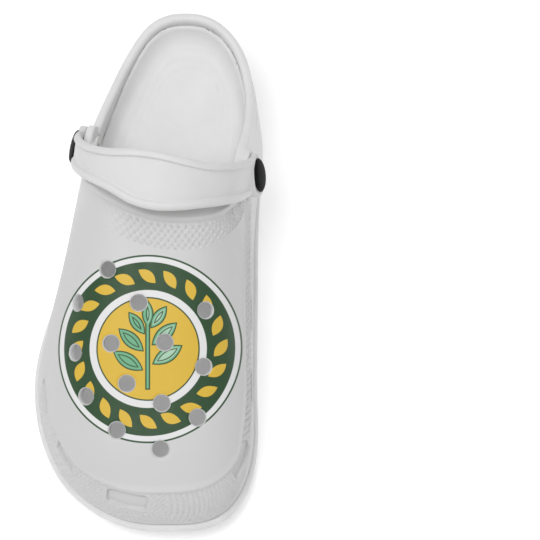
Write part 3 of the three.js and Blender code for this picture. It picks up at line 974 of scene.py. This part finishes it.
def place_in_mm(tree):
    """The surface point's place in the part's frame, as three Numbers in millimetres."""
    scaled = tree.nodes.new("ShaderNodeVectorMath")
    scaled.operation = "SCALE"
    scaled.inputs["Scale"].default_value = 1 / MM
    tree.links.new(object_place(tree), scaled.inputs[0])
    apart = tree.nodes.new("ShaderNodeSeparateXYZ")
    tree.links.new(scaled.outputs[0], apart.inputs[0])
    return [Number(tree, socket) for socket in apart.outputs]


def mark(tree, name):
    """One of the numbers that the mesh carries on its points."""
    node = tree.nodes.new("ShaderNodeAttribute")
    node.attribute_name = name
    return Number(tree, node.outputs["Fac"])


def noise(tree, size, detail=3.0):
    """Smooth noise with features of a size in millimetres."""
    node = tree.nodes.new("ShaderNodeTexNoise")
    node.inputs["Scale"].default_value = 1 / (size * MM)
    node.inputs["Detail"].default_value = detail
    tree.links.new(object_place(tree), node.inputs["Vector"])
    return Number(tree, node.outputs["Fac"])


def blend_colours(tree, amount, first, second):
    """A mix of two colours, each given as numbers or as a socket."""
    node = tree.nodes.new("ShaderNodeMix")
    node.data_type = "RGBA"
    tree.links.new(amount.socket, node.inputs["Factor"])
    for slot, colour in ((node.inputs[6], first), (node.inputs[7], second)):
        if isinstance(colour, tuple):
            slot.default_value = (*colour, 1)
        else:
            tree.links.new(colour, slot)
    return node.outputs[2]


def new_material(name):
    material = bpy.data.materials.new(name)
    material.use_nodes = True
    tree = material.node_tree
    return material, tree, tree.nodes["Principled BSDF"]


def bumpy(tree, shader, layers):
    """Adds bumps: each layer is a Number and its height in millimetres."""
    normal = None
    for height_map, height in layers:
        bump = tree.nodes.new("ShaderNodeBump")
        bump.inputs["Distance"].default_value = height * MM
        bump.inputs["Strength"].default_value = 1
        tree.links.new(height_map.socket, bump.inputs["Height"])
        if normal:
            tree.links.new(normal, bump.inputs["Normal"])
        normal = bump.outputs["Normal"]
    tree.links.new(normal, shader.inputs["Normal"])


# strength of the painted glow: emission inside under the vamp, standing in for light through the thin foam
PAINTED_GLOW = 0.085
FINE_GRAIN = 0.012  # height of the skin's pebbles in millimetres
GRAIN_PITCH = 0.55  # distance between the pebbles in millimetres


def grey(level):
    return (level, level, level)


def foam_look(name, pale, deep, roughness, grain):
    """Closed-cell foam: near-white, satin, with mottling and a fine pebbled skin."""
    material, tree, shader = new_material(name)
    mottle = noise(tree, 18, 4).spread(0, 1)
    colour = blend_colours(tree, mottle, pale, deep)
    tree.links.new(colour, shader.inputs["Base Color"])
    satin = noise(tree, 5).spread(roughness - 0.06, roughness + 0.06)
    tree.links.new(satin.socket, shader.inputs["Roughness"])
    cells = tree.nodes.new("ShaderNodeTexVoronoi")
    cells.inputs["Scale"].default_value = 1 / (GRAIN_PITCH * MM)
    tree.links.new(object_place(tree), cells.inputs["Vector"])
    bumpy(tree, shader, [
        (Number(tree, cells.outputs["Distance"]), grain),
        (noise(tree, 0.35, 2), grain * 0.6),
        (noise(tree, 14, 2), 0.12),
    ])
    shader.inputs["Specular IOR Level"].default_value = 0.35
    shader.inputs["Sheen Weight"].default_value = 0.04
    return material, tree, shader, colour


def paint_glow_inside(tree, shader, mask=None):
    """Painted glow: a faint emission on the inside under the vamp, standing in for the daylight that the
    vamp's thin foam lets through, seen inside the toe.
    """
    y = place_in_mm(tree)[1]
    under_vamp = (y + 15).within(20)
    shader.inputs["Emission Color"].default_value = (1, 1, 1, 1)
    glow = under_vamp * PAINTED_GLOW if mask is None else under_vamp * mask * PAINTED_GLOW
    tree.links.new(glow.socket, shader.inputs["Emission Strength"])


def plastic_look(name, first, second, smoothest, roughest):
    """Moulded plastic, a little uneven in tone, shine and surface."""
    material, tree, shader = new_material(name)
    tone = noise(tree, 3).spread(0, 1)
    tree.links.new(blend_colours(tree, tone, first, second), shader.inputs["Base Color"])
    shine = noise(tree, 1.5).spread(smoothest, roughest)
    tree.links.new(shine.socket, shader.inputs["Roughness"])
    bumpy(tree, shader, [(noise(tree, 0.8), 0.006), (noise(tree, 6), 0.03)])
    return material, shader


def rivet_look():
    """Black plastic that reflects very little."""
    material, shader = plastic_look("rivet_plastic", grey(0.004), (0.009, 0.009, 0.01), 0.5, 0.62)
    shader.inputs["Specular IOR Level"].default_value = 0.06
    return material


def socket_look():
    """Natural white plastic, satin."""
    return plastic_look("socket_plastic", (0.80, 0.80, 0.79), (0.74, 0.74, 0.73), 0.3, 0.42)[0]


def strap_look():
    """The strap's foam, a shade darker than the shell's."""
    return foam_look("strap_foam", grey(0.72), grey(0.685), 0.48, FINE_GRAIN)[0]


def sole_look():
    """The outsole's foam, rougher than the shell's."""
    return foam_look("sole_foam", grey(0.79), grey(0.74), 0.6, 0.02)[0]


def footbed_look():
    """The footbed's foam, the roughest, with a painted glow under the vamp."""
    material, tree, shader, _ = foam_look("footbed_foam", grey(0.79), grey(0.75), 0.62, 0.03)
    # painted glow: the footbed gives off faint light under the vamp
    paint_glow_inside(tree, shader)
    return material


# -------- the printed badge
# A generic round garden print: a green band with leaves round a yellow disc with a sprig.

PRINT_CENTRE = (3.0, -31.9)
PRINT_REACH = 48.0  # nothing is printed further out than this
RING_RADIUS = 46.5
RING_HALF_WIDTH = 0.45
BAND_OUTER = 43.4
BAND_INNER = 29.4
BAND_MIDDLE = (BAND_OUTER + BAND_INNER) / 2
DISC_RADIUS = 25.9
OUTLINE = 0.35
BAND_LEAVES = 20
BAND_LEAF_LENGTH = 5.4
BAND_LEAF_WIDTH = 2.6
DARK_GREEN = (0.020, 0.066, 0.022)
LEAF_GREEN = (0.155, 0.43, 0.24)
PALE_GREEN = (0.38, 0.60, 0.43)
YELLOW = (0.70, 0.46, 0.045)
BADGE_WHITE = grey(0.76)
VAMP_SHADE_GREY = grey(0.60)  # painted shade: the forefoot's foam is painted a shade greyer than the bare heel, for the shade on the forward-sloping vamp


def leaf(along, across, length, width):
    """Below zero inside a pointed leaf that lies along a line, from -length to length."""
    taper = along * (1 / length)
    return abs(across) - (-(taper * taper) + 1.0) * width


def turned(u, v, at, angle):
    """Coordinates along and across a direction, from a point."""
    du = u - at[0]
    dv = v - at[1]
    cos, sin = math.cos(angle), math.sin(angle)
    return du * cos + dv * sin, dv * cos - du * sin


def band_leaves(u, v, radius):
    """Leaves set round the band, each tilted a little out of its line."""
    step = 2 * math.pi / BAND_LEAVES
    angle = v.do("ARCTAN2", u)
    along = angle.do("WRAP", step / 2, -step / 2) * BAND_MIDDLE
    across = radius - BAND_MIDDLE
    return leaf(*turned(along, across, (0, 0), math.radians(38)), BAND_LEAF_LENGTH, BAND_LEAF_WIDTH)


# Each leaf's foot beside and along the stem, its tilt in degrees, and its half length and half width.
SPRIG_LEAVES = [(2.5, -9.0, 32, 8.6, 3.5), (2.2, 0.5, 42, 8.2, 3.3), (1.6, 9.0, 54, 6.6, 2.7)]


def sprig(u, v):
    """A stem with a leaf at its tip and pairs of leaves, the right-hand one of each pair a little higher."""
    side = u.do("SIGN")
    level = v - side * 1.5
    mirrored = abs(u)
    shapes = []
    for out, up, tilt, length, width in SPRIG_LEAVES:
        angle = math.radians(tilt)
        at = (out + length * math.cos(angle), up + length * math.sin(angle))
        shapes.append(leaf(*turned(mirrored, level, at, angle), length, width))
    shapes.append(leaf(*turned(u, v, (0, 17.5), math.pi / 2), 6.5, 2.6))
    stem = (abs(u) - 0.9).do("MAXIMUM", abs(v + 3.0) - 17.0)
    leaves = shapes[0]
    for shape in shapes[1:]:
        leaves = leaves.do("MINIMUM", shape)
    ribs = abs(leaves + 1.9) - 0.28
    return leaves, stem, ribs


def add_print(tree, shader, foam_colour):
    """Prints the badge on the outer skin, clear of the vents' edges."""
    x, y, z = place_in_mm(tree)
    u = x - PRINT_CENTRE[0]
    v = front_level(y, z) - PRINT_CENTRE[1]
    radius = (u * u + v * v).do("SQRT")
    leaves, stem, ribs = sprig(u, v)
    layers = [
        (radius - RING_RADIUS, BADGE_WHITE),
        (abs(radius - RING_RADIUS) - RING_HALF_WIDTH, DARK_GREEN),
        (abs(radius - BAND_MIDDLE) - (BAND_OUTER - BAND_INNER) / 2, DARK_GREEN),
        (band_leaves(u, v, radius), YELLOW),
        (radius - DISC_RADIUS, DARK_GREEN),
        (radius - (DISC_RADIUS - 2 * OUTLINE), YELLOW),
        (leaves.do("MINIMUM", stem) - OUTLINE, DARK_GREEN),
        (stem + OUTLINE, LEAF_GREEN),
        (leaves + OUTLINE, LEAF_GREEN),
        ((leaves + 1.1).do("MAXIMUM", -u), PALE_GREEN),
        (ribs.do("MAXIMUM", leaves), DARK_GREEN),
    ]
    # Painted shade: the foam towards the front is blended to a darker grey, for the shade on the vamp that
    # slopes forward; the print is laid over it.
    foam_colour = blend_colours(tree, (y - 20).within(30) * 0.9, foam_colour, VAMP_SHADE_GREY)
    colour = foam_colour
    for shape, ink in layers:
        colour = blend_colours(tree, shape.within(), colour, ink)
    skin = (mark(tree, "skin_depth") - 1.3).within(0.2)
    clear = (-mark(tree, "vent_distance") + 0.55).within(0.15)
    reach = (radius - PRINT_REACH).within()
    printed = blend_colours(tree, skin * clear * reach, foam_colour, colour)
    worn = noise(tree, 0.6, 4).spread(0.0, 0.02)
    tree.links.new(blend_colours(tree, worn, printed, foam_colour), shader.inputs["Base Color"])


def upper_look():
    """The shell's foam with the print on its outer skin, and a painted glow inside under the vamp."""
    material, tree, shader, colour = foam_look("upper_foam", grey(0.78), grey(0.745), 0.5, FINE_GRAIN)
    add_print(tree, shader, colour)
    # painted glow on the inner skin under the vamp
    inner_skin = (-mark(tree, "skin_depth") + 3.9).within(0.4)
    paint_glow_inside(tree, shader, inner_skin)
    return material


# -------- camera, floor and lights


CAMERA_PLACE = (64, -422.6, 906.3)
CAMERA_TARGET = (64, 9.1, 0)
CAMERA_LENS = 121.3
FLOOR_REACH = 6.0  # metres from the middle to the floor's edge


def aim(thing, place, target):
    """Puts a camera or a light at a place and turns it to its target, both in millimetres."""
    thing.location = [value * MM for value in place]
    away = Vector(target) - Vector(place)
    thing.rotation_euler = away.to_track_quat("-Z", "Y").to_euler()


def add_camera():
    data = bpy.data.cameras.new("camera")
    data.lens = CAMERA_LENS
    data.sensor_width = 36
    data.clip_end = 20
    camera = add_object("camera", data)
    aim(camera, CAMERA_PLACE, CAMERA_TARGET)
    bpy.context.scene.camera = camera


def add_light(name, place, target, size, power):
    data = bpy.data.lights.new(name, "AREA")
    data.shape = "DISK"
    data.size = size
    data.energy = power
    aim(add_object(name, data), place, target)


def add_floor():
    mesh = bpy.data.meshes.new("floor")
    low, high = -FLOOR_REACH, FLOOR_REACH
    mesh.from_pydata([(low, low, 0), (high, low, 0), (high, high, 0), (low, high, 0)], [], [(0, 1, 2, 3)])
    floor = add_object("floor", mesh)
    floor.location.z = -0.0003
    material, tree, shader = new_material("floor")
    shader.inputs["Base Color"].default_value = (0.93, 0.93, 0.93, 1)
    shader.inputs["Roughness"].default_value = 1
    shader.inputs["Specular IOR Level"].default_value = 0
    shader.inputs["Emission Color"].default_value = (1, 1, 1, 1)
    shader.inputs["Emission Strength"].default_value = 0.22
    mesh.materials.append(material)
    floor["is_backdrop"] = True


def add_studio():
    """The floor, even light from all round, and two soft lamps overhead."""
    add_floor()
    world = bpy.data.worlds.new("studio")
    world.use_nodes = True
    background = world.node_tree.nodes["Background"]
    background.inputs["Color"].default_value = (1, 1, 1, 1)
    background.inputs["Strength"].default_value = 0.52
    bpy.context.scene.world = world
    bpy.context.scene.view_settings.view_transform = "Standard"
    add_light("key", (-350, -350, 1350), (0, 0, 30), 0.7, 6)
    add_light("top", (60, -60, 1500), (0, 0, 30), 1.0, 5)


# -------- assembly


def finish_piece(piece, material, body, node):
    """Gives a piece its material and its body, and hides the CAD node that it stands for."""
    piece.data.materials.append(material)
    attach(piece, body)
    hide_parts(node)


def build():
    add_camera()
    add_studio()

    finish_piece(upper_piece(), upper_look(), "clog_body", "upper")
    finish_piece(outsole_piece(), sole_look(), "clog_body", "outsole")
    footbed = footbed_piece()
    finish_piece(footbed, footbed_look(), "clog_body", "footbed")
    finish_piece(strap_piece(), strap_look(), "strap", "heel_strap")
    rivet_plastic = rivet_look()
    socket_plastic = socket_look()
    for side, label in ((-1, "lateral"), (1, "medial")):
        for piece in stud_piece(side, f"stud_{label}"):
            finish_piece(piece, rivet_plastic, "strap", f"rivet_stud_{label}")
        socket = socket_piece(side, f"socket_{label}")
        finish_piece(socket, socket_plastic, "strap", f"rivet_socket_{label}")


build()
[[list(corner) for corner in box] for box in (CAD_BOUNDS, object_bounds())]
